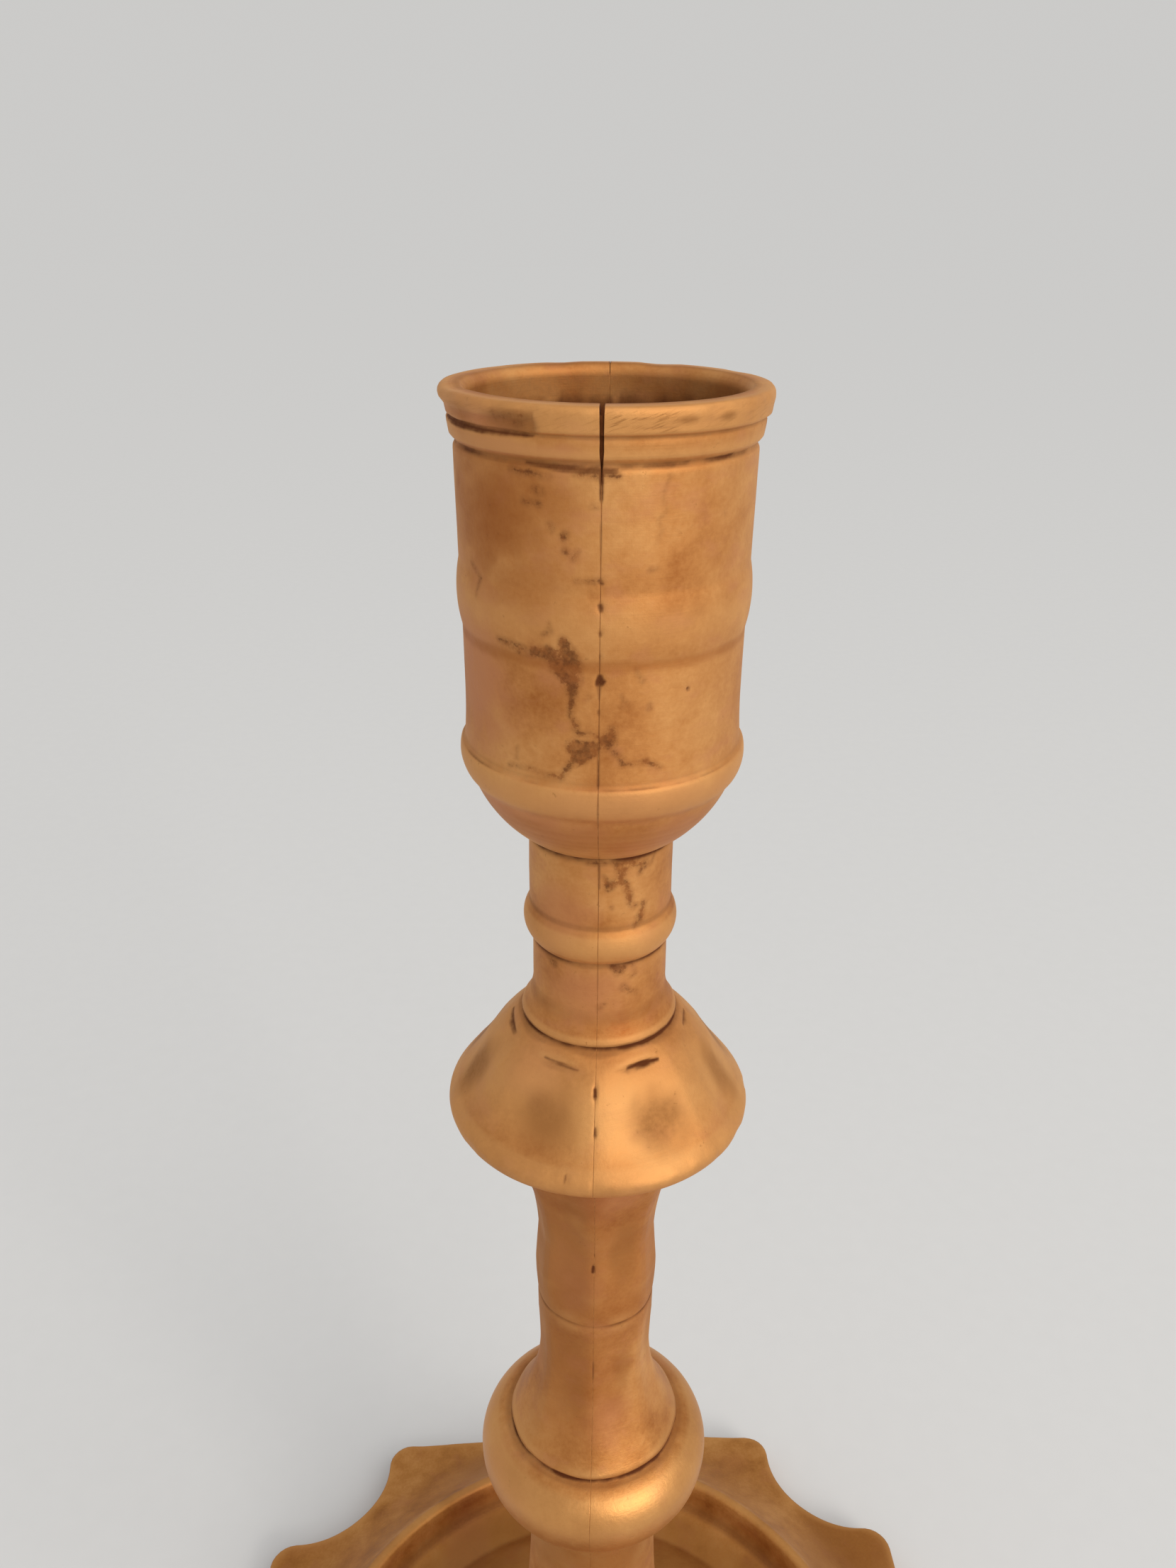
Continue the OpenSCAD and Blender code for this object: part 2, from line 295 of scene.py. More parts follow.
# Strokes of brown stain, in the same form: a branching blot, specks, fine cracks.
STAINS = [
    (70, (-41, 17.8, 20), (-35, 18, 40), (-26, 18.3, 35)),
    (100, (-25, 18, 30), (-19.5, 18.1, 60), (-16, 18.8, 80), (-12, 19.8, 70)),
    (100, (-13, 16.9, 30), (-12, 17.9, 70), (-10, 19.2, 80), (-10, 20.3, 60), (-10.5, 21.5, 30),
        (-11, 23, 10), (-9, 23.7, 22), (-8, 24.3, 20), (-4, 24.4, 12), (-0.5, 24.5, 10)),
    (100, (-10, 25.5, 40), (-7, 25.9, 95), (-3, 25.6, 70), (0.5, 25.2, 35), (3.5, 25, 70),
        (5, 24, 30)),
    (95, (5.5, 25.8, 16), (8.5, 26.4, 20), (9, 26.9, 14), (14, 26.9, 10), (18.5, 26.8, 22),
        (24, 27.4, 10)),
    (90, (-9, 26.4, 50), (-11, 27, 20), (-14.5, 28.1, 24), (-20.5, 28.2, 12), (-27.5, 27.9, 7),
        (-37.5, 28.1, 10)), (80, (-18.5, 15.7, 8), (-18, 16.4, 14), (-21, 16.6, 6)),
    (70, (20.5, 11.5, 8), (17.5, 11.6, 12)), (90, (-1, 12.3, 14), (-9, 12.4, 10)),
    (70, (16, 20.1, 20), (13.5, 19.2, 6)), (70, (19, 22.4, 20), (19.5, 22, 8)),
    (75, (8.5, 21.2, 6), (11, 22.1, 14), (8, 22.1, 8)), (80, (-4, 21.4, 13), (-3.7, 21.5, 12)),
    (60, (-33.5, 26.4, 8), (-34, 27.4, 16)),
    (75, (-58, 12.6, 10), (-51.5, 13.5, 12), (-53.5, 15, 10)),
    (85, (-33.5, 4.7, 12), (-24, 4.9, 22), (-18, 5, 14)),
    (85, (-9, 4.7, 10), (0.5, 4.8, 24), (6, 4.8, 10)), (75, (-23, 6, 32), (-21.5, 6.1, 28)),
    (75, (-28, 6.9, 20), (-22, 7, 24)), (70, (-3, 6.9, 16), (-1, 7, 10)),
    (95, (-18, 8.6, 25), (-17.6, 8.7, 20)), (95, (-13, 9.1, 20), (-12.8, 9.3, 16)),
    (90, (-12.5, 10.2, 20), (-10.5, 10.5, 12)), (90, (-8.5, 10.2, 14), (-9.5, 10.7, 16)),
    (70, (49, 8.1, 10), (49.4, 8.2, 8)),
    (62, (24, 4.8, 5), (22.5, 5.6, 5), (21, 6.2, 4), (23, 7.4, 4), (20, 8, 5), (21.5, 8.7, 4),
        (20, 9.5, 5)), (60, (-36, 0.9, 30), (-26.5, 1.15, 66)),
    (50, (-22.5, 0.5, 8), (-21, 1.9, 10)), (40, (22, 1, 10), (30, 1, 16)),
    (40, (40, 1, 14), (46, 0.9, 20)), (90, (-8, 38.5, 10), (1, 38.5, 16), (5, 38.5, 8)),
    (85, (11, 38.4, 25), (18.5, 38.8, 50), (24.5, 38.7, 35), (37.5, 39.1, 45)),
    (85, (16.5, 38.9, 45), (17, 40.1, 50), (7.5, 40.8, 36), (4, 39.7, 10)),
    (85, (19, 40.4, 36), (23.5, 41.5, 34), (25, 42.7, 20), (29, 43, 26)),
    (80, (35, 39, 28), (33, 39.8, 20)), (70, (48.5, 38.1, 12), (43.5, 39.2, 14)),
    (80, (38, 43, 25), (34.5, 44.3, 40), (30, 45, 20)), (90, (10, 42.8, 10), (10.4, 42.9, 8)),
    (80, (12, 49, 30), (18, 49.5, 50), (23, 49.2, 30)),
    (70, (28, 48.8, 12), (33, 50.2, 14), (28.5, 50.5, 10)),
    (80, (22, 51.5, 42), (28, 52, 25), (33.5, 52.2, 22)), (70, (1.5, 53.4, 26), (6, 53, 12)),
    (70, (-48, 49.1, 25), (-40, 49.7, 42)),
    (80, (110, 8, 40), (122, 9.6, 80), (131, 9, 30), (140, 11.5, 20)),
    (90, (150, 21, 40), (158, 22.5, 70), (163, 25, 40), (160, 27.6, 20)),
    (80, (-128, 12.5, 50), (-134, 14.5, 60), (-131, 18, 20), (-126, 19, 30)),
    (80, (-165, 39.5, 30), (-155, 40.5, 40), (-148, 43, 20)),
    (75, (98, 50, 30), (106, 51, 40), (112, 53, 15)),
    (80, (-96, 24.6, 20), (-107, 23.8, 50), (-116, 25.4, 40), (-120, 27.8, 20))]

# Patches of painted shade, dull brown: turn, drop, half width, half height, strength. Most are in
# the hollow middles of the flats; others lie down the left of the baluster, under the knop and on
# the worn-back left of the lip, which is dull wear too.
SHADE_AND_DULL_PATCHES = [
    (-32, 1.3, 2.4, 0.8, 1), (-56, 1.2, 2, 0.6, 0.5), (27, 1, 0.9, 0.3, 0.7),
    (43, 1, 0.8, 0.4, 0.8), (-25, 62.7, 3, 2.2, 0.8), (31, 63.1, 3, 2.3, 1),
    (-78, 63.2, 2, 2.8, 1), (78, 62.9, 1.7, 2.7, 0.9), (-109, 63, 2, 2.3, 1),
    (109, 63.2, 2, 2.2, 0.9), (-152, 63.4, 2.8, 2, 1), (150, 63.4, 2.8, 2, 0.9),
    (-20, 79, 1.7, 6, 0.45), (30, 84, 1.6, 5, 0.55), (-24, 104, 1.8, 4, 0.45),
    (34, 101, 1.2, 3.4, 0.4), (-78, 80, 1.4, 6, 0.5), (80, 96, 1.4, 8, 0.5),
    (-150, 85, 1.6, 7, 0.5), (148, 102, 1.6, 6, 0.5), (-45, 90, 5, 22, 0.4),
    (0, 128, 14, 9, 0.65), (180, 128, 14, 9, 0.65)]

# Pinker, copper-rich places, in the same form.
BLUSHES = [
    (-62, 21.5, 5, 6.5, 0.9), (-40, 3.2, 6.5, 0.6, 0.9), (-50, 1.1, 6.5, 1.2, 0.8),
    (18, 30.6, 16, 1.6, 0.55), (-40, 33.5, 7, 2.4, 0.8), (45, 35, 6, 2.4, 0.8),
    (-30, 44, 3, 3.2, 0.6), (-8, 52, 4, 3, 0.7), (-35, 60, 3, 2.4, 0.6), (10, 74, 3.5, 4, 0.7),
    (-20, 88, 3, 4, 0.6), (15, 107, 2.6, 3, 0.6), (-60, 118, 7, 4, 0.6), (120, 20, 7, 6, 0.7),
    (-140, 33, 9, 3, 0.7), (160, 60, 5, 4, 0.5), (170, 90, 3, 6, 0.6)]

# Deeper, browner gold, in the same form: browner tone in places, and painted shade on the left of
# the nozzle and stem, below the nozzle's swelling band, under the bowl and on the baluster under
# the bell.
DEEP_TONE_AND_SHADE_PATCHES = [
    (-50, 8.5, 6, 4.4, 1), (-30, 6.5, 5, 2.6, 0.6), (-28, 13, 4.5, 3, 0.45),
    (0, 19, 26, 0.55, 0.75), (180, 19, 26, 0.55, 0.75), (-140, 10, 8, 5, 0.7),
    (100, 26, 6, 3, 0.5), (0, 34.5, 30, 1.6, 0.55), (-20, 75, 5, 5, 0.75), (0, 86, 30, 9, 0.5),
    (-25, 102, 5, 8, 0.6), (170, 34.5, 30, 1.6, 0.5)]


def strokes(turns, drops, radii, lines, seed, soft):
    """The strongest of some strokes at each point, ragged, fading out over soft millimetres."""
    place = unrolled(turns, drops, radii)
    ragged = 0.16 * noise(place, 0.8, seed) + 0.1 * noise(place, 0.35, seed + 1)
    total = np.zeros_like(drops)
    for strength, *line in lines:
        line = [(turn, drop, wide / 100) for turn, drop, wide in line]
        for (turn_a, drop_a, wide_a), (turn_b, drop_b, wide_b) in zip(line, line[1:]):
            reach = 1 + max(wide_a, wide_b)
            low, high = min(drop_a, drop_b) - reach, max(drop_a, drop_b) + reach
            near = (drops > low) & (drops < high)
            if not near.any():
                continue
            x, y = offset(turns[near], drops[near], radii[near], turn_a, drop_a)
            end_x, end_y = np.radians(turn_b - turn_a) * radii[near], drop_b - drop_a
            along = np.clip((x * end_x + y * end_y) / (end_x * end_x + end_y * end_y), 0, 1)
            far = np.hypot(x - along * end_x, y - along * end_y)
            wide = wide_a + (wide_b - wide_a) * along
            inside = wide * (1 + 1.6 * ragged[near]) - far
            shade = strength / 100 * ramp(inside, -soft, 0.6 * soft)
            total[near] = np.maximum(total[near], shade)
    return total


def patches(turns, drops, radii, spots, rough, seed):
    """The strongest of some soft oval patches at each point, their outlines made rough."""
    place = unrolled(turns, drops, radii)
    wobble = noise(place, 2.4, seed) * 0.6 + noise(place, 0.9, seed + 1) * 0.4
    total = np.zeros_like(drops)
    for turn, drop, across, along, strength in spots:
        x, y = offset(turns, drops, radii, turn, drop)
        far = np.sqrt((x / across) ** 2 + (y / along) ** 2) + rough * wobble
        total = np.maximum(total, ramp(far, 1.4, 0.35) * strength)
    return total


def pit(turns, drops, radii, spot, share=1):
    """1 in the middle of a pit, falling off softly; share narrows it. spot is from PITS."""
    turn, drop, across, along, _ = spot
    x, y = offset(turns, drops, radii, turn, drop)
    return np.exp(-(x / (share * across)) ** 2 - (y / (share * along)) ** 2)


def blurred(field, reach):
    """The field averaged along its rows' direction with a soft window."""
    weight = window(np.arange(-3 * reach, 3 * reach + 1) / reach)
    padded = np.pad(field, ((3 * reach, 3 * reach), (0, 0)), mode="edge")
    rows = field.shape[0]
    return sum(w * padded[i:i + rows] for i, w in enumerate(weight))


# ---- meshes


def link(name, data):
    """A new object in the scene that shows data."""
    thing = bpy.data.objects.new(name, data)
    bpy.context.collection.objects.link(thing)
    return thing


def show(name, node, material, points, faces, flat_faces=(), masks=None):
    """A shown piece on the root body, standing for a CAD node. points are in millimetres.

    flat_faces are added after faces and shaded flat. masks are values at the points that
    the material reads by name.
    """
    mesh = bpy.data.meshes.new(name)
    mesh.from_pydata(
        (points.reshape(-1, 3) * MM).tolist(), [], list(faces) + list(flat_faces))
    smooth = np.zeros(len(mesh.polygons), bool)
    smooth[:len(faces)] = True
    mesh.polygons.foreach_set("use_smooth", smooth)
    for key, values in (masks or {}).items():
        layer = mesh.attributes.new(key, "FLOAT", "POINT")
        layer.data.foreach_set("value", np.asarray(values, np.float32).ravel())
    mesh.materials.append(material)
    mesh.update()
    piece = link(name, mesh)
    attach(piece, "root")
    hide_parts(node)


def ring_faces(rows, columns, closed_rows=False, closed_columns=False, flip=False):
    """Quads of a grid of points stored row by row, turned over if flip is set."""
    i = np.arange(rows if closed_rows else rows - 1)[:, None]
    j = np.arange(columns if closed_columns else columns - 1)[None, :]
    below, right = (i + 1) % rows, (j + 1) % columns
    quads = [i * columns + j, i * columns + right, below * columns + right,
             below * columns + j]
    if flip:
        quads.reverse()
    return np.stack(np.broadcast_arrays(*quads), -1).reshape(-1, 4).tolist()


def cap(outline, indices, flip):
    """Triangles that close a flat outline, as indices of its points."""
    flat = [Vector((float(x), float(y), 0)) for x, y in outline]
    order = (0, 2, 1) if flip else (0, 1, 2)
    return [tuple(int(indices[tri[k]]) for k in order) for tri in tessellate_polygon([flat])]


HAIR_HALF, CRACK_HALF, CRACK_END = 0.021, 0.165, 5.4


def half_gap(drops, at_front):
    """Half the width of the seam: an open crack at the rim in front, a hairline elsewhere."""
    along = in_line(drops)
    hair = HAIR_HALF + 0.006 * noise(along, 1.7, 31) + 0.005 * noise(along, 0.6, 32)
    if not at_front:
        return hair
    crack = CRACK_HALF + 0.03 * noise(along, 0.8, 33) - 0.03 * ramp(drops, 1.5, 2.4)
    return hair + (crack - hair) * ramp(drops, CRACK_END, 2.5)


def stem_rows():
    """The closed section of the stem's wall: outline, and how many rows are outside."""
    outer = spread(OUTSIDE, lambda p: np.interp(
        p[:, 1], [0, 30, 56, 114, 130, 176], [0.22, 0.24, 0.3, 0.36, 0.6, 0.8]), 0.07)
    inner = spread(INSIDE, lambda p: np.interp(p[:, 1], [0, 9, 20], [0.4, 0.6, 1.5]), 0.05)
    return np.concatenate([outer, inner[1:-1]]), len(outer)


def stem_columns():
    """Shares of the half turn from the front seam to the back, finest at the front."""
    near = [0, 0.25, 0.55, 0.9, 1.3, 1.8, 2.4, 3.1, 3.9, 4.8]
    back = [172.5, 174.8, 176.4, 177.6, 178.5, 179.2, 179.7, 180]
    front = np.arange(5.8, 62, 1.05)
    growing = np.linspace(0, 1, 40)[1:-1]
    side = front[-1] + (back[0] - front[-1]) * (0.42 * growing + 0.58 * growing ** 1.5)
    return np.concatenate([near, front, side, back]) / 180


def worn_radius(turns, drops, radii):
    """The outer radius with flats, dents, wear and the unevenness of a casting."""
    r = radii * (1 - flat_depth(turns, drops))
    place = placed(r, np.radians(turns), drops)
    uneven = 0.028 * noise(place, 9, 1) + 0.02 * noise(place, 3.5, 2)
    uneven += 0.006 * noise(place, 1.1, 3)
    quiet = ramp(drops, 0.2, 1.5)
    r = r + uneven * (0.35 + 0.65 * quiet) - 0.03
    # The lip is worn away underneath on the left and bruised all round.
    lip = ramp(drops, 0.7, 1.4) * ramp(drops, 2.4, 1.9)
    edge = 0.5 + 0.5 * noise(place, 2.2, 4)
    left = ramp(turns, -20.4, -22.2) * ramp(turns, -160, -130)
    r = r - lip * (0.3 * left * (0.6 + 0.4 * edge) + 0.08 * edge)
    brow = ramp(drops, 0, 0.3) * ramp(drops, 0.9, 0.5)
    r = r - brow * (0.1 * ramp(noise(place, 1.7, 6), 0.1, 0.6) + 0.05 * ramp(turns, 0, 3))
    nick = ramp(drops, 66, 66.8) * ramp(drops, 68.4, 67.6)
    r = r - nick * 0.12 * ramp(noise(place, 1.3, 7), 0.25, 0.7)
    for spot in PITS:
        r = r - spot[-1] * pit(turns, drops, radii, spot)
    return r


MASKS = ("grime_and_shade", "stain", "dull_and_shade", "blush", "deep_tone_and_shade", "wear_and_highlight", "hatch", "polish")

# Swells painted brighter, a painted highlight on top of the polish of hands: drop, half width,
# share.
SWELL_HIGHLIGHTS_AND_POLISH = [(16, 1.4, 1), (30.4, 0.9, 1), (46.8, 1.2, 0.9), (61.5, 4, 1.5)]

# How polished the stem is at each drop.
POLISH = [(0, 0.1), (28, 0.1), (31, 0.2), (56, 0.1), (60, 0.1), (68, 0.3), (76, 0.15),
          (108, 0.2), (114, 0.9), (124, 0.9), (132, 0.5), (175, 0.6)]


def stem_half(side, node, material):
    """One casting: side is -1 for the left and 1 for the right."""
    rows, outer_count = stem_rows()
    shares = stem_columns()
    count, width = len(rows), len(shares)
    radii, drops = np.repeat(rows.T[:, :, None], width, 2)
    # Each row starts and ends at the edge of the casting, half the seam's width away.
    start = np.arcsin(half_gap(rows[:, 1], True) / rows[:, 0])
    stop = math.pi - np.arcsin(half_gap(rows[:, 1], False) / rows[:, 0])
    angle = start[:, None] + (stop - start)[:, None] * shares[None, :]
    turns = side * np.degrees(angle)
    outer = slice(0, outer_count)
    worn = radii.copy()
    worn[outer] = worn_radius(turns[outer], drops[outer], radii[outer])
    at = placed(worn, side * angle, drops)
    inside = slice(outer_count, count)
    worn[inside] += 0.05 * noise(at[inside], 2.5, 9) * ramp(drops[inside], 33, 36)
    # The rim is worn unevenly low, and never stands above its true height.
    lift = RIM_Z - drops - 0.12 * ramp(noise(at, 4, 11), 0, 0.8) * ramp(drops, 1.2, 0)

    masks = {key: np.zeros_like(drops) for key in MASKS}
    skin = out_turns, out_drops, out_r = turns[outer], drops[outer], worn[outer]
    place = at[outer]
    hollow = blurred(out_r, 4) - out_r
    grime_and_shade = 0.4 * ramp(hollow, 0.03, 0.14) * ramp(np.abs(out_drops - 67), 2.5, 4.5)
    broken = 0.72 + 0.4 * noise(place * [1, 1, 0], 3.2, 13) + 0.2 * noise(place, 0.9, 14)
    # Dark lines in the grooves: dirt, with painted shade under the lip's mouldings, the bowl and
    # the neck's ring.
    for drop, wide, strength in GROOVES:
        line = np.exp(-((out_drops - drop) / wide) ** 2)
        grime_and_shade = np.maximum(grime_and_shade, line * strength * np.clip(broken, 0.35, 1.1))
    grime_and_shade = np.maximum(grime_and_shade, strokes(*skin, DIRT_AND_SHADE_STROKES, 15, 0.24))
    for spot in PITS:
        grime_and_shade = np.maximum(grime_and_shade, min(3 * spot[-1], 0.9) * pit(*skin, spot, 0.8))
    seam = np.minimum(np.abs(out_turns), 180 - np.abs(out_turns))
    hairline = ramp(np.radians(seam) * out_r, 0.2, 0.08)
    lined = 0.24 + 0.18 * noise(place * [0, 0, 1], 2.2, 16) + 0.4 * ramp(out_drops, 8, 5)
    lined -= 0.28 * ramp(out_drops, 50, 58)
    masks["grime_and_shade"][outer] = np.maximum(grime_and_shade, lined * hairline)
    streaks = noise(at * [1, 1, 0.08], 0.55, 12) + 0.8 * noise(at * [1, 1, 0.2], 3.2, 17)
    soot = ramp(drops + 0.75 * streaks, 0.7, 4.4)
    masks["grime_and_shade"][inside] = np.maximum(0.92 * soot[inside], 0.4 * ramp(drops[inside], 0, 1.2))
    # The walls of the crack are painted dark as deep as it goes: dirt, and painted shade inside
    # the crack.
    masks["grime_and_shade"][:, 0] = np.maximum(masks["grime_and_shade"][:, 0], 0.9 * ramp(drops[:, 0], 5.5, 4.5))
    masks["stain"][outer] = strokes(*skin, STAINS, 18, 0.5)
    # Dull wear and painted shade on the worn-back left of the lip.
    lip_patch = ramp(out_turns, -38, -33) * ramp(out_turns, -21.4, -22.4)
    lip_patch *= ramp(out_drops, 0.35, 0.7) * ramp(out_drops, 2.1, 1.8)
    masks["dull_and_shade"][outer] = np.maximum(patches(*skin, SHADE_AND_DULL_PATCHES, 0.22, 8), 0.85 * lip_patch)
    masks["blush"][outer] = patches(*skin, BLUSHES, 0.4, 20)
    # Browner tone, and painted shade below the swells, under the bowl and bell and on the left.
    masks["deep_tone_and_shade"][outer] = patches(*skin, DEEP_TONE_AND_SHADE_PATCHES, 0.4, 22)
    # Painted highlight on the swells, and worn bright ridges.
    swell_highlight_and_polish = sum(share * np.exp(-((out_drops - drop) / half) ** 2) for drop, half, share in SWELL_HIGHLIGHTS_AND_POLISH)
    masks["wear_and_highlight"][outer] = np.maximum(
        ramp(out_r - blurred(out_r, 4), 0.01, 0.09), 0.7 * swell_highlight_and_polish)
    filed = ramp(out_turns, 0, 2) * ramp(out_turns, 30, 18)
    masks["hatch"][outer] = (
        (0.3 + 0.7 * filed) * ramp(out_drops, 0.2, 0.5) * ramp(out_drops, 1.9, 1.6))
    masks["polish"] = np.interp(drops, *zip(*POLISH))

    faces = ring_faces(count, width, closed_rows=True, flip=side > 0)
    flat = []
    for column, flip in ((0, side > 0), (width - 1, side < 0)):
        indices = np.arange(count) * width + column
        flat += cap(np.stack([worn[:, column], lift[:, column]], 1), indices, flip)
    points = rotated(placed(worn, side * angle, lift))
    show(node + "_casting", node, material, points, faces, flat, masks)


def rotated(points):
    """Points of the stem, turned as it sits on the base."""
    turn = math.radians(STEM_TURN)
    c, s = math.cos(turn), math.sin(turn)
    return points.reshape(-1, 3) @ np.array([[c, s, 0], [-s, c, 0], [0, 0, 1]])


def seam_strip(node, at_front, material):
    """The brazing metal in the seam: a thin uneven fin as deep as the wall."""
    outer = spread(OUTSIDE, 0.25, 0.07)
    inner = spread(INSIDE, 1.1, 0.05)[1:-1]
    top = 0.5 if at_front else 0.06
    outer = outer[outer[:, 1] >= top]
    inner = inner[inner[:, 1] >= top]
    section = np.concatenate([outer, inner])
    drops = section[:, 1]
    along = in_line(drops)
    # Filed flush with the castings below the neck, a little lower above it.
    above = ramp(drops, 58, 50)
    sink = (0.005 + 0.012 * above) * (1 + 0.6 * noise(along, 0.7, 21))
    opened = ramp(drops, 5.6, 4.2) if at_front else np.zeros_like(drops)
    sink = sink + 0.26 * opened
    is_outer = np.r_[np.ones(len(outer)), np.zeros(len(inner))]
    worn = worn_radius(np.full_like(drops, 0 if at_front else 180), drops, section[:, 0])
    outward = np.where(is_outer > 0, worn - sink, section[:, 0])
    half = half_gap(drops, at_front) - 0.003
    toward = -1 if at_front else 1
    sides = [np.stack([half * s, toward * outward, RIM_Z - drops], 1) for s in (-1, 0, 1)]
    sides[1][:, 1] += toward * 0.006 * is_outer
    count = len(section)
    points = np.concatenate(sides)
    pitted = sum(np.exp(-((drops - drop) / length) ** 2) for turn, drop, _, length, _ in PITS
                 if abs(around(turn, 0 if at_front else 180)) < 2)
    # Dark down the open crack, painted shade with dirt; dirt in the pits and faintly along the
    # seam above the neck.
    dirt_and_crack_shade = np.maximum.reduce([opened, pitted, 0.34 * above * (1 + noise(along, 2.2, 16))])
    dirt_and_crack_shade = np.clip(dirt_and_crack_shade, 0, 1)
    faces = ring_faces(3, count, closed_columns=True, flip=toward > 0)
    flat = cap(section, np.arange(count), toward < 0)
    flat += cap(section, np.arange(count) + 2 * count, toward > 0)
    show(node + "_strip", node, material, rotated(points), faces, flat,
         {"grime_and_shade": np.tile(dirt_and_crack_shade, 3)})


# ---- hidden pieces


def polar(radii, angle, z):
    """Points at an angle from the +X axis, in radians, and a height."""
    return np.stack([radii * np.cos(angle), radii * np.sin(angle), z], -1)


def lathe(name, node, material, section, turns, wobble):
    """A piece with a closed section, (radius, height), turned round the axis and made uneven."""
    angle = np.arange(turns) * 2 * math.pi / turns
    r, z = np.repeat(section.T[:, :, None], turns, 2)
    points = wobble(polar(r, angle, z))
    faces = ring_faces(len(section), turns, True, True, flip=True)
    show(name, node, material, rotated(points), faces)


def socket_floor(material):
    """A disc cut from sheet, a little dished and uneven, in its seat under the socket."""
    low, high = FLOOR_LOW[2], FLOOR_HIGH[2]
    edge = FLOOR_R - 0.02
    section = spread(np.array([
        (0.02, high - 0.25), (6, high - 0.16), (edge - 0.5, high), (edge, high - 0.3),
        (edge, low + 0.2), (edge - 0.3, low), (0.02, low)]), 0.35, 0.08)

    def wobble(points):
        points[..., 2] -= 0.08 + 0.08 * noise(points, 3, 41)
        points[..., 2] = np.clip(points[..., 2], low, high)
        return points

    lathe("socket_floor_disc", "socket_floor", material, section, 144, wobble)


def foot_tenon(material):
    """The plug and shank in one, with the shank's end hammered over below the washer."""
    washer_low = WASHER_LOW[2]
    low, high = PLUG_LOW[2], PLUG_HIGH[2]
    peen_r = 4.8
    section = spread(np.array([
        (0.02, high), (PLUG_R - 0.4, high), (PLUG_R, high - 0.4), (PLUG_R, SEAT_Z),
        (SHANK_R, SEAT_Z), (SHANK_R, washer_low), (peen_r - 0.2, washer_low),
        (peen_r, washer_low - 0.35), (peen_r - 0.5, low + 1), (peen_r - 1.8, low + 0.3),
        (0.02, low + 0.02)]), 0.3, 0.06)

    def wobble(points):
        head = ramp(points[..., 2], washer_low, washer_low - 0.4)
        blows = 0.5 + 0.5 * np.abs(noise(points, 1.9, 43)) * np.sign(noise(points, 3.1, 44))
        points[..., :2] *= (1 - 0.05 * head * blows)[..., None]
        points[..., 2] += 0.22 * head * blows * ramp(points[..., 2], washer_low - 0.3, low)
        return points

    lathe("foot_tenon_peened", "foot_tenon", material, section, 160, wobble)


def tenon_washer(material):
    """A washer cut by hand from sheet, its rim not quite round."""
    low, high, rim = WASHER_LOW[2], WASHER_HIGH[2], WASHER_HIGH[0]
    section = spread(np.array([
        (SHANK_R + 0.05, high), (rim - 0.1, high), (rim, high - 0.15), (rim, low + 0.25),
        (rim - 0.3, low), (SHANK_R + 0.3, low), (SHANK_R + 0.05, low + 0.2),
        (SHANK_R + 0.05, high)]), 0.25, 0.04)[:-1]

    def wobble(points):
        share = ramp(np.hypot(points[..., 0], points[..., 1]), SHANK_R + 1, rim)
        bite = 0.5 + 0.5 * noise(points * [1, 1, 0], 3.2, 45)
        points[..., :2] *= (1 - 0.06 * share * bite)[..., None]
        return points

    lathe("tenon_washer_cut", "tenon_washer", material, section, 160, wobble)


# ---- base

SCOOP_R, SCOOP_D, LOBE_R = 13, 64.6, 3.5
WELL_R, CREASE_R, DOME_R, CREASE_H, EDGE_H = 39, 31, 15.5, 9.4, 4.5
RING_HALF, EDGE_ROUND = 0.9, 0.55

# Which side of the base a row of points is on.
TOP, RIM, BELOW = 0, 1, 2


def base_plan(inset):
    """The plan of the base, drawn in by inset: one side's half, then scoop, round four times."""
    scoop = SCOOP_D / math.sqrt(2)
    q = LOBE_R - inset
    y = BASE_HALF - LOBE_R
    x = scoop - math.sqrt((SCOOP_R + inset + q) ** 2 - (y - scoop) ** 2)
    meet = math.atan2(scoop - y, scoop - x)

    def part(cx, cy, r, a, b, steps):
        turn = np.linspace(a, b, steps)
        return np.stack([cx + r * np.cos(turn), cy + r * np.sin(turn)], 1)

    right = math.pi / 2
    corner = np.concatenate([
        part(y, x, q, 0, right - meet, 13),
        part(scoop, scoop, SCOOP_R + inset, 3 * right - meet, 2 * right + meet, 37)[1:-1],
        part(x, y, q, meet, right, 13)])
    whole = [corner @ np.array([[math.cos(t), math.sin(t)], [-math.sin(t), math.cos(t)]])
             for t in (right * k for k in range(4))]
    return np.concatenate(whole)


def plan_radius(turns, inset):
    """Distance from the axis to the plan's edge, in each direction, in radians."""
    plan = base_plan(inset)
    closed = spread(np.concatenate([plan, plan[:1]]), 0.2)
    angle = np.arctan2(closed[:, 1], closed[:, 0])
    order = np.argsort(angle)
    return np.interp(turns, angle[order], np.hypot(*closed.T)[order], period=2 * math.pi)


def base_top():
    """The upper surface from the shank's hole to past the lobes, as radius and height."""
    shoulder = WELL_H - 0.35
    top = spread(trace((SHANK_R, SEAT_Z), [
        (DOME_R, SEAT_Z, 0), (CREASE_R, CREASE_H, -1.1), (WELL_R - 2.4, 10.3, 0.15),
        (WELL_R - RING_HALF, shoulder, 0.25), (WELL_R + RING_HALF, shoulder, -0.35),
        (BASE_HALF, EDGE_H + 0.9, 1.1), (BASE_HALF + 9, EDGE_H - 0.1, 0.15)], 14), 0.2, 0.12)
    # Past the ridge the slope eases into the flange with no crease.
    eased = ramp(top[:, 0], 44, 47)
    top[:, 1] += eased * (blurred(top[:, 1:], 9)[:, 0] - top[:, 1])
    return top


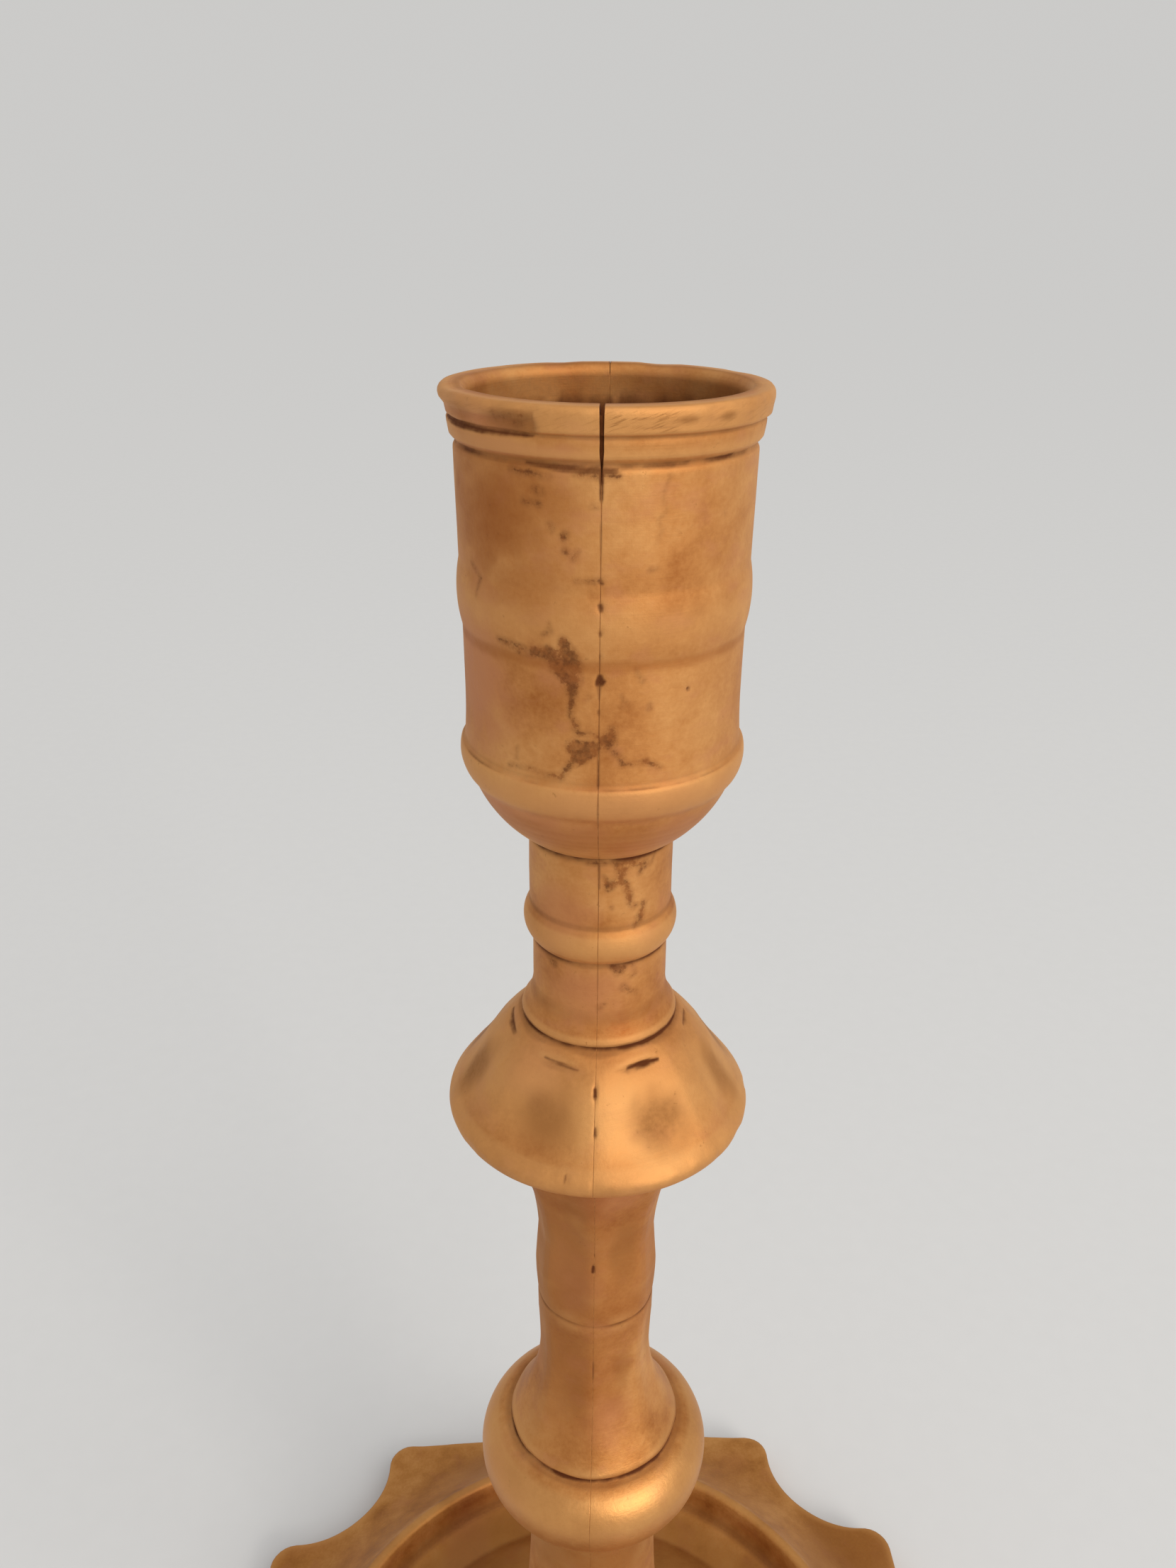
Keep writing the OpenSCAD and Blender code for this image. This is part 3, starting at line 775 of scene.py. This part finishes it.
def base_casting(material):
    """The whole base: top, outer edge, foot rim and hollow underside, as one closed skin."""
    plan = spread(np.concatenate([base_plan(0), base_plan(0)[:1]]), 0.86)[:-1]
    turns = np.arctan2(plan[:, 1], plan[:, 0])
    edge, inner_edge = plan_radius(turns, 0), plan_radius(turns, BASE_T)
    top = base_top()
    ring = WELL_R + RING_HALF
    rows = []

    def height(r):
        return np.interp(r, top[:, 0], top[:, 1])

    def under(r):
        return np.minimum(height(r), height(r + 0.6)) - BASE_T

    def add(radius, z, kind):
        rows.append([np.broadcast_to(v, turns.shape) for v in (radius, z, kind)])

    # Top: circles out to the ridge, then blending into the plan, with a rounded edge.
    for r in np.r_[SHANK_R, 8, 12, 13.2, np.linspace(13.9, ring, 74)]:
        add(r, height(r), TOP)
    for share in np.linspace(0, 1, 30)[1:]:
        r = ring + (edge - EDGE_ROUND - ring) * share
        add(r, height(r), TOP)
    edge_z = height(edge - EDGE_ROUND)
    for turn in np.linspace(0, math.pi / 2, 6)[1:]:
        add(edge - EDGE_ROUND * (1 - math.sin(turn)),
            edge_z - EDGE_ROUND * (1 - math.cos(turn)), TOP)
    for share in np.linspace(0, 1, 9)[1:]:
        add(edge, (edge_z - EDGE_ROUND) * (1 - share) + 0.35 * share, TOP)
    add(edge - 0.1, 0.1, TOP)
    add(edge - 0.35, 0, RIM)
    add((edge + inner_edge) / 2, 0, RIM)
    add(inner_edge + 0.3, 0, RIM)
    add(inner_edge + 0.05, 0.2, RIM)
    # Underside: up the inside of the edge, then inwards at an even thickness.
    for share in (0.3, 0.7):
        add(inner_edge, 0.2 + (under(inner_edge) - 0.2) * share, BELOW)
    for share in np.linspace(0, 1, 24):
        r = inner_edge - 0.15 + (ring + 0.4 - inner_edge + 0.15) * share
        add(r, under(r), BELOW)
    for r in np.r_[np.linspace(ring, 8, 46), SHANK_R]:
        add(r, under(r), BELOW)

    radius, z, kind = np.array(rows).transpose(1, 0, 2)
    place = polar(radius, turns, z)
    # Hand work: the flange is filed a little unevenly and its corners are knocked.
    top_side, below = kind == TOP, kind == BELOW
    free = (kind != RIM) * ramp(radius, 14.5, 17) * ramp(z, 0.2, 1.2)
    z = z - free * (0.05 + 0.05 * noise(place, 11, 51) + 0.025 * noise(place, 3.6, 52))
    z = z + below * free * 0.06 * noise(place, 1.5, 53)
    knock = ramp(edge - radius, 1.2, 0.2) * ramp(noise(place, 3.4, 54), 0.2, 0.75) * top_side
    radius = radius - 0.22 * knock
    points = polar(radius, turns, z)

    masks = {key: np.zeros_like(z) for key in MASKS}
    foot_line = ramp(radius, 16, 14) * top_side
    # Painted shade at the foot of the well's wall.
    well_foot_shade = 0.5 * ramp(np.abs(radius - (WELL_R - 2.2)), 1.3, 0.1) * top_side
    crease = 0.3 * ramp(np.abs(radius - CREASE_R), 0.9, 0) * top_side
    outer_side = 0.35 * ramp(z, 3.4, 0.4) * ramp(edge - radius, 0.5, 0.2) * top_side
    masks["grime_and_shade"] = np.maximum.reduce([foot_line, well_foot_shade, crease, outer_side, 0.45 * below])
    worn_edge = ramp(edge - radius, 1.6, 0.3) * ramp(z, 1.5, 4)
    # Painted highlight along the top of the ridge; the worn top edge is brighter too.
    masks["wear_and_highlight"] = np.maximum(ramp(np.abs(radius - WELL_R), 1, 0.2), worn_edge) * top_side
    # Painted shade on the well's floor just inside the ridge.
    masks["dull_and_shade"] = 0.7 * ramp(radius, WELL_R - 1.2, WELL_R - 5) * top_side
    masks["deep_tone_and_shade"] = np.maximum(
        0.8 * ramp(noise(place, 14, 55), 0, 0.7) * top_side,
        0.9 * ramp(edge - radius, 0.4, 0.1) * top_side)
    masks["blush"] = 0.7 * ramp(noise(place, 9, 56), 0.15, 0.7) * top_side
    masks["polish"] = 0.55 * top_side
    faces = ring_faces(len(rows), len(turns), True, True, flip=True)
    show("base_casting", "base", material, points, faces, (), masks)


# ---- materials


def srgb(red, green, blue):
    """A colour given as 0 to 255, as the linear values that shaders take."""
    def linear(value):
        value /= 255
        return value / 12.92 if value <= 0.04045 else ((value + 0.055) / 1.055) ** 2.4
    return (*map(linear, (red, green, blue)), 1)


class Shading:
    """A material whose nodes are made by short calls that return their output sockets."""

    def __init__(self, name):
        self.material = bpy.data.materials.new(name)
        self.material.use_nodes = True
        self.tree = self.material.node_tree
        self.tree.nodes.clear()
        self.output = self.tree.nodes.new("ShaderNodeOutputMaterial")
        coords = self.tree.nodes.new("ShaderNodeTexCoord").outputs["Object"]
        self.mm = self.vector("MULTIPLY", coords, (1 / MM,) * 3)

    def make(self, kind, inputs, **settings):
        node = self.tree.nodes.new("ShaderNode" + kind)
        for key, value in settings.items():
            setattr(node, key, value)
        for key, value in inputs.items():
            if isinstance(value, bpy.types.NodeSocket):
                self.tree.links.new(value, node.inputs[key])
            else:
                node.inputs[key].default_value = value
        return node

    def vector(self, operation, a, b):
        return self.make("VectorMath", {0: a, 1: b}, operation=operation).outputs[0]

    def math(self, operation, a, b, clamp=False):
        return self.make("Math", {0: a, 1: b}, operation=operation, use_clamp=clamp).outputs[0]

    def times(self, a, b, clamp=False):
        return self.math("MULTIPLY", a, b, clamp)

    def sum(self, *terms, start=0):
        """start and each (socket, weight) added up, kept between 0 and 1."""
        total = start
        for socket, weight in terms:
            total = self.make("Math", {0: socket, 1: weight, 2: total},
                              operation="MULTIPLY_ADD").outputs[0]
        total.node.use_clamp = True
        return total

    def noise(self, per_mm, detail, roughness, squeeze=(1, 1, 1), distortion=0, spin=None):
        """Noise with per_mm features in a millimetre, spun and then squeezed by axis."""
        place = self.mm
        if spin:
            place = self.make("VectorRotate", {"Vector": place, "Rotation": spin},
                              rotation_type="EULER_XYZ").outputs[0]
        place = self.vector("MULTIPLY", place, tuple(squeeze))
        return self.make("TexNoise", {
            "Vector": place, "Scale": per_mm, "Detail": detail, "Roughness": roughness,
            "Distortion": distortion}).outputs["Fac"]

    def mask(self, name):
        return self.make("Attribute", {}, attribute_name=name).outputs["Fac"]

    def step(self, value, low, high, to=1):
        """0 below low and to above high, smooth between."""
        return self.make("MapRange", {
            "Value": value, "From Min": low, "From Max": high, "To Min": 0, "To Max": to},
            interpolation_type="SMOOTHSTEP").outputs["Result"]

    def mix(self, share, a, b):
        return self.make("Mix", {0: share, 6: a, 7: b}, data_type="RGBA").outputs[2]

    def colours(self, value, stops):
        node = self.make("ValToRGB", {"Fac": value})
        ramp_stops = node.color_ramp.elements
        while len(ramp_stops) < len(stops):
            ramp_stops.new(0.5)
        for element, (place, colour) in zip(ramp_stops, stops):
            element.position = place
            element.color = colour
        return node.outputs["Color"]

    def finish(self, colour, roughness, metallic, sheen, heights, depth):
        """heights are (socket, weight) pairs; depth is the relief's depth in millimetres.

        sheen is how much the part of the surface that isn't bare metal reflects.
        """
        total = 0
        for socket, weight in heights:
            total = self.math("ADD", self.times(socket, weight), total)
        bump = self.make("Bump", {"Height": total, "Strength": 1, "Distance": depth * MM})
        shader = self.make("BsdfPrincipled", {
            "Base Color": colour, "Roughness": roughness, "Metallic": metallic,
            "Specular IOR Level": sheen, "Normal": bump.outputs["Normal"]})
        self.tree.links.new(shader.outputs[0], self.output.inputs["Surface"])
        return self.material


STAIN_DARK, STAIN_PALE = srgb(94, 46, 14), srgb(136, 76, 32)
# GRIME_AND_SHADE is dark brown for dirt, and for painted shade in grooves, the crack and the
# well.
GRIME_AND_SHADE = srgb(92, 45, 15)
# Brown for dirt and painted shade in the seam's open crack.
CRACK_DIRT_AND_SHADE = srgb(126, 68, 28)


def cast_brass(name, tones, speckle=0.5):
    """Old brass: cloudy tones, brown stains, dirt and painted shade in the hollows, worn bright
    edges and painted highlights on the swells.

    tones are five colours: deep, middle, pale, pink and dull. The deep and dull ones also paint
    shade, and the pale one paints highlights.
    """
    deep_tone_and_shade, middle, pale_and_highlight, pink, dull_and_shade_tone = tones
    s = Shading(name)
    clouds = s.noise(0.1, 2, 0.5, distortion=0.4)
    mottle = s.noise(0.42, 5, 0.62)
    fine = s.noise(2.4, 5, 0.6)
    grain = s.noise(11, 3, 0.6)
    lines = s.noise(1, 4, 0.7, squeeze=(0.1, 0.1, 7))
    scratches = s.noise(1, 2, 0.5, squeeze=(9, 9, 0.35), distortion=1.5)
    filed = s.noise(1, 2, 0.6, squeeze=(0.7, 0.7, 7), spin=(0, 0.35, 0))
    tone = s.sum((clouds, 0.5), (mottle, 0.32), (fine, 0.18))
    colour = s.colours(tone, [(0.3, deep_tone_and_shade), (0.5, middle), (0.68, pale_and_highlight)])
    faint_blush = s.step(s.noise(0.23, 3, 0.6, (1, 1, 1.7)), 0.5, 0.74, 0.4)
    colour = s.mix(s.math("MAXIMUM", faint_blush, s.sum((s.mask("blush"), 0.8))), colour, pink)
    # Painted shade in the deep tone where the deep mask is, besides browner tone.
    colour = s.mix(s.times(s.mask("deep_tone_and_shade"), s.sum((mottle, 1.3))), colour, deep_tone_and_shade)

    ragged = s.math("SUBTRACT", fine, 0.5)
    stain_mask = s.mask("stain")
    torn = s.math("SUBTRACT", s.noise(1.4, 8, 0.75), 0.5)
    stain_at = s.sum((stain_mask, 1), (torn, 1.9))
    core = s.times(s.step(stain_at, 0.4, 0.95), s.step(stain_mask, 0.1, 0.5))
    halo = s.times(s.step(stain_mask, 0.02, 0.8), s.sum((torn, 1.6), start=0.42))
    stain = s.math("MAXIMUM", halo, s.times(core, s.sum((fine, 1.3), start=0.28)))
    stain_colour = s.mix(s.step(s.noise(0.9, 5, 0.65), 0.4, 0.62), STAIN_DARK, STAIN_PALE)
    cluster = s.step(mottle, 0.5, 0.68)
    specks = s.times(s.step(s.noise(1.5, 6, 0.72), 0.6, 0.67, speckle), cluster)
    dull_and_shade = s.times(s.mask("dull_and_shade"), s.sum((mottle, 0.8), (fine, 0.5), start=0.2))
    grime_and_shade_mask = s.mask("grime_and_shade")
    grime_and_shade = s.step(s.sum((grime_and_shade_mask, 1), (ragged, 0.3)), 0.12, 0.92)
    wear_and_highlight = s.sum((s.mask("wear_and_highlight"), 0.5))
    hatch = s.times(s.mask("hatch"), s.step(filed, 0.5, 0.7))

    # Painted highlight on the swells and the base's ridge, and wear on edges, in the pale tone.
    colour = s.mix(wear_and_highlight, colour, pale_and_highlight)
    colour = s.mix(s.sum((hatch, 0.5)), colour, dull_and_shade_tone)
    # Painted shade in the flats' hollows, under the knop and in the base's well, and dull wear,
    # in the dull tone.
    colour = s.mix(s.sum((dull_and_shade, 0.75)), colour, dull_and_shade_tone)
    colour = s.mix(specks, colour, dull_and_shade_tone)
    colour = s.mix(s.sum((stain, 0.85)), colour, stain_colour)
    # Dirt, and painted shade in grooves under overhangs, in the crack and in the base's well.
    colour = s.mix(grime_and_shade, colour, GRIME_AND_SHADE)

    polish = s.mask("polish")
    rough = s.sum((mottle, 0.22), (fine, 0.1), (polish, -0.2), (stain, 0.14), (grime_and_shade, 0.3),
                  (dull_and_shade, 0.08), start=0.46)
    metallic = s.sum((polish, 0.28), (stain, -0.3), (grime_and_shade, -0.5), (dull_and_shade, -0.1), start=0.6)
    return s.finish(colour, rough, metallic, 0.22, [
        (mottle, 0.3), (fine, 0.26), (grain, 0.07), (lines, 0.14), (scratches, 0.05),
        (stain, -0.08), (specks, -0.14), (grime_and_shade, -0.05), (hatch, -0.1)], 0.09)


def braze_metal():
    """Brazing metal filed flush and gone the colour of the castings; dirty where it is low, and
    painted dark as shade down the open crack.
    """
    s = Shading("seam_braze_worn")
    fine = s.noise(1.6, 4, 0.6)
    colour = s.colours(fine, [(0.35, srgb(170, 104, 52)), (0.55, srgb(198, 136, 76)),
                              (0.75, srgb(214, 158, 96))])
    grime_and_shade = s.times(s.mask("grime_and_shade"), s.sum((fine, 0.6), start=0.65), clamp=True)
    colour = s.mix(grime_and_shade, colour, CRACK_DIRT_AND_SHADE)
    rough = s.sum((fine, 0.2), (grime_and_shade, 0.3), start=0.45)
    metallic = s.sum((grime_and_shade, -0.5), start=0.65)
    return s.finish(colour, rough, metallic, 0.3, [(fine, 1)], 0.04)


def floor_metal():
    """The socket's floor: dull sheet with a skin of old wax and soot."""
    s = Shading("socket_floor_sooted")
    clouds = s.noise(0.3, 4, 0.6)
    fine = s.noise(2, 4, 0.6)
    soot = s.step(s.math("ADD", clouds, s.times(fine, 0.3)), 0.45, 0.9)
    colour = s.mix(soot, srgb(126, 82, 44), srgb(34, 20, 10))
    rough = s.math("ADD", s.times(soot, 0.3), 0.42)
    metallic = s.math("SUBTRACT", 0.95, s.times(soot, 0.7))
    return s.finish(colour, rough, metallic, 0.3, [(clouds, 0.6), (fine, 0.4)], 0.12)


def hammered_metal(name, light, dark):
    """Brass struck with a hammer and left to tarnish."""
    s = Shading(name)
    dents = s.noise(0.55, 2, 0.5)
    fine = s.noise(3, 4, 0.6)
    colour = s.mix(s.step(s.math("ADD", dents, s.times(fine, 0.3)), 0.45, 0.85),
                   light, dark)
    rough = s.math("ADD", s.times(fine, 0.35), 0.28)
    return s.finish(colour, rough, 0.93, 0.5, [(dents, 0.7), (fine, 0.25)], 0.15)


# ---- studio


SKY = (0.6, 0.594, 0.582)
SUN_ENERGY, SUN_SPREAD, SUN_COLOUR = 1.15, math.radians(50), (1, 0.96, 0.9)
SUN_FROM = Vector((0.44, -0.5, 0.62))
KEY_ENERGY, KEY_SIZE, KEY_COLOUR = 2.7, 0.34, (1, 0.94, 0.85)
KEY_FROM, KEY_TO = Vector((0.53, -0.75, 0.5)), Vector((0, 0, 0.11))
FLOOR_HALF, FLOOR_SINK = 4, 2e-4


def plain_surface():
    """Pale paper that sends back as much light as the sky gives, so no horizon shows."""
    s = Shading("studio_floor_paper")
    slope = SUN_FROM.normalized().z
    paper = [sky / (sky + SUN_ENERGY * sun * slope / math.pi) for sky, sun in
             zip(SKY, SUN_COLOUR)]
    fine = s.noise(0.25, 3, 0.5)
    colour = s.mix(fine, (*(0.985 * c for c in paper), 1), (*(1.015 * c for c in paper), 1))
    return s.finish(colour, 1, 0, 0, [(fine, 0.3)], 0.05)


def studio():
    """A plain pale floor and soft light."""
    floor = bpy.data.meshes.new("studio_floor")
    corners = [(x * FLOOR_HALF, y * FLOOR_HALF, -FLOOR_SINK)
               for x, y in ((-1, -1), (1, -1), (1, 1), (-1, 1))]
    floor.from_pydata(corners, [], [(0, 1, 2, 3)])
    floor.materials.append(plain_surface())
    link("studio_floor", floor)

    world = bpy.data.worlds.new("studio")
    world.use_nodes = True
    world.node_tree.nodes["Background"].inputs["Color"].default_value = (*SKY, 1)
    bpy.context.scene.world = world
    bpy.context.scene.view_settings.view_transform = "Standard"

    sun = bpy.data.lights.new("sun", "SUN")
    sun.energy, sun.angle, sun.color = SUN_ENERGY, SUN_SPREAD, SUN_COLOUR
    key = bpy.data.lights.new("key", "AREA")
    key.size, key.energy, key.color = KEY_SIZE, KEY_ENERGY, KEY_COLOUR
    for light, place, way in ((sun, SUN_FROM, -SUN_FROM), (key, KEY_FROM, KEY_TO - KEY_FROM)):
        holder = link(light.name, light)
        holder.location = place
        holder.rotation_euler = way.to_track_quat("-Z", "Y").to_euler()


def camera():
    """The viewpoint: close in front of the seam, above the rim, looking down the stem."""
    image_h, focal_px, sensor = 2212, 1760, 36
    aside, away, above = -1.2, 99.2, 12.9
    pitch, roll, azimuth = 25.32, 0.43, -2.2
    lens = bpy.data.cameras.new("camera")
    lens.sensor_width = sensor
    lens.lens = sensor * focal_px / image_h
    lens.clip_start = 1 * MM
    lens.clip_end = 20
    holder = link("camera", lens)
    turn = Matrix.Rotation(math.radians(azimuth), 4, "Z")
    place = Matrix.Translation(Vector((aside, -away, RIM_Z + above)) * MM)
    tilt = Matrix.Rotation(math.radians(90 - pitch), 4, "X")
    holder.matrix_world = turn @ place @ tilt @ Matrix.Rotation(math.radians(roll), 4, "Z")
    bpy.context.scene.camera = holder


studio()
camera()

# Deep, middle, pale, pink and dull; the deep and dull tones also paint shade and the pale one
# highlights.
STEM_TONES = (srgb(160, 92, 38), srgb(198, 136, 76), srgb(218, 162, 100),
              srgb(196, 130, 88), srgb(140, 88, 40))
BASE_TONES = (srgb(140, 84, 34), srgb(180, 122, 62), srgb(206, 150, 88),
              srgb(176, 114, 70), srgb(136, 88, 38))
stem_half(-1, "stem_left_half", cast_brass("brass_left_half", STEM_TONES))
stem_half(1, "stem_right_half", cast_brass("brass_right_half", STEM_TONES))
braze = braze_metal()
seam_strip("seam_braze_front", True, braze)
seam_strip("seam_braze_back", False, braze)
socket_floor(floor_metal())
foot_tenon(hammered_metal("tenon_hammered_brass", srgb(196, 146, 84), srgb(104, 68, 34)))
tenon_washer(hammered_metal("washer_sheet_brass", srgb(170, 122, 70), srgb(86, 56, 30)))
base_casting(cast_brass("brass_base", BASE_TONES, speckle=0.3))
